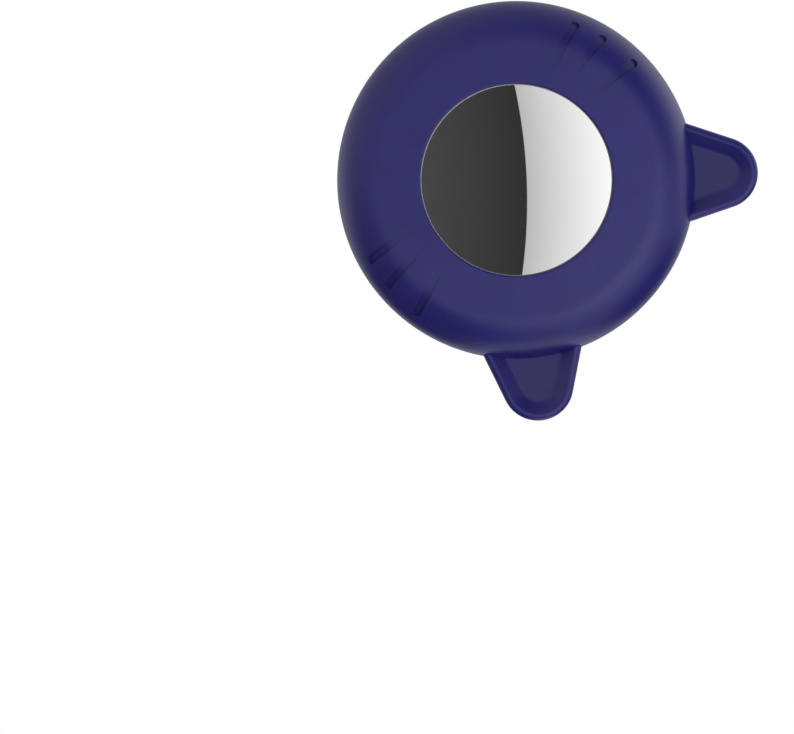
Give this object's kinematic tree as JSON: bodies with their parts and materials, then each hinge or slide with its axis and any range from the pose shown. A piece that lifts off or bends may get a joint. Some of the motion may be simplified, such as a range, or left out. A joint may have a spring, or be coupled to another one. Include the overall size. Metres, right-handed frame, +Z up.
{
  "type": "tracker tag holder",
  "caption": "Round silicone collar holder with cat ears and whisker grooves: a strap bridge behind, and a coin-sized tracker tag whose steel battery cover fills the front window.",
  "frame": {"origin": "centre of the strap tunnel behind the body", "axes": "+X along the strap, to the right seen from the front; -Y out of the window; +Z up between the ears"},
  "size_m": [0.04, 0.0173, 0.0408],
  "materials": {
    "silicone": "soft satin silicone, dark navy violet",
    "white_plastic": "glossy white",
    "seal_rubber": "matt black",
    "polished_steel": "mirror-polished stainless steel",
    "cell_steel": "nickel-plated, satin",
    "gasket_plastic": "natural polypropylene",
    "cathode_mix": "pressed black powder",
    "lithium": "dull silver foil",
    "contact_brass": "gold-plated spring sheet",
    "board_laminate": "dark green solder mask",
    "chip_resin": "black moulding resin",
    "shield_metal": "tinned shield",
    "passive_ceramic": "ceramic",
    "antenna_copper": "copper",
    "yoke_steel": "plain steel",
    "magnet_nickel": "nickel-plated magnet"
  },
  "bodies": {
    "holder": {"holder_shell": "silicone", "holder_lip": "silicone"},
    "tag": {"tag_housing": "white_plastic", "battery_tray": "white_plastic", "flange_seal": "seal_rubber", "cell_can": "cell_steel", "cell_cap": "cell_steel", "cell_gasket": "gasket_plastic", "cell_cathode": "cathode_mix", "cell_separator": "gasket_plastic", "cell_anode": "lithium", "positive_contacts": "contact_brass", "negative_contact": "contact_brass", "logic_board": "board_laminate", "bluetooth_chip": "chip_resin", "ranging_module": "shield_metal", "memory_chip": "chip_resin", "motion_sensor": "chip_resin", "sound_amplifier": "chip_resin", "board_crystals": "shield_metal", "board_passives": "passive_ceramic", "bluetooth_antenna": "antenna_copper", "ranging_antenna": "antenna_copper", "nfc_antenna": "antenna_copper", "speaker_yoke": "yoke_steel", "speaker_magnet": "magnet_nickel", "voice_coil": "antenna_copper"},
    "cover": {"battery_cover": "polished_steel"}
  },
  "joints": [
    {"name": "tag_pull", "type": "slide", "parent": "holder", "child": "tag", "axis": [0, -1, 0], "range_m": [0, 0.016], "deforming": ["holder_lip"]},
    {"name": "cover_twist", "type": "hinge", "parent": "tag", "child": "cover", "pos_m": [0, -0.012, 0], "axis": [0, -1, 0], "range_deg": [0, 20]}
  ]
}
